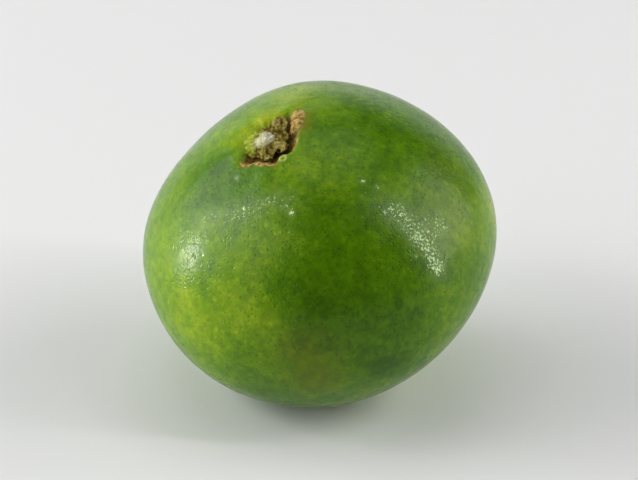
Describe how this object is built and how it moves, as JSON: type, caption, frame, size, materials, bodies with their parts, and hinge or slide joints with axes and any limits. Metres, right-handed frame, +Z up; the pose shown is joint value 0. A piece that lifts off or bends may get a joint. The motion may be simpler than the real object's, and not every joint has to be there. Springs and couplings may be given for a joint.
{
  "type": "satsuma mandarin",
  "caption": "Whole green satsuma mandarin, an oblate citrus fruit with a dry calyx and cut stem stub, leaning on a small flat spot; set dressing and handling item.",
  "frame": {"origin": "centre of the underside of the fruit's box, on the surface that the fruit rests on", "axes": "+Z up, away from the surface; the stem end looks up and leans towards -X and a little towards -Y; -Y faces the viewer of the usual front view"},
  "size_m": [0.0656, 0.0644, 0.0547],
  "materials": {
    "rind": "waxy citrus rind, satin, pitted with oil glands, green with yellow-green patches",
    "dry_sepal": "dry, brown and brittle, tan at its edges",
    "cut_stem": "pale cut wood, matt and fibrous"
  },
  "bodies": {
    "root": {"fruit": "rind", "calyx": "dry_sepal", "stem_stub": "cut_stem"}
  },
  "joints": []
}
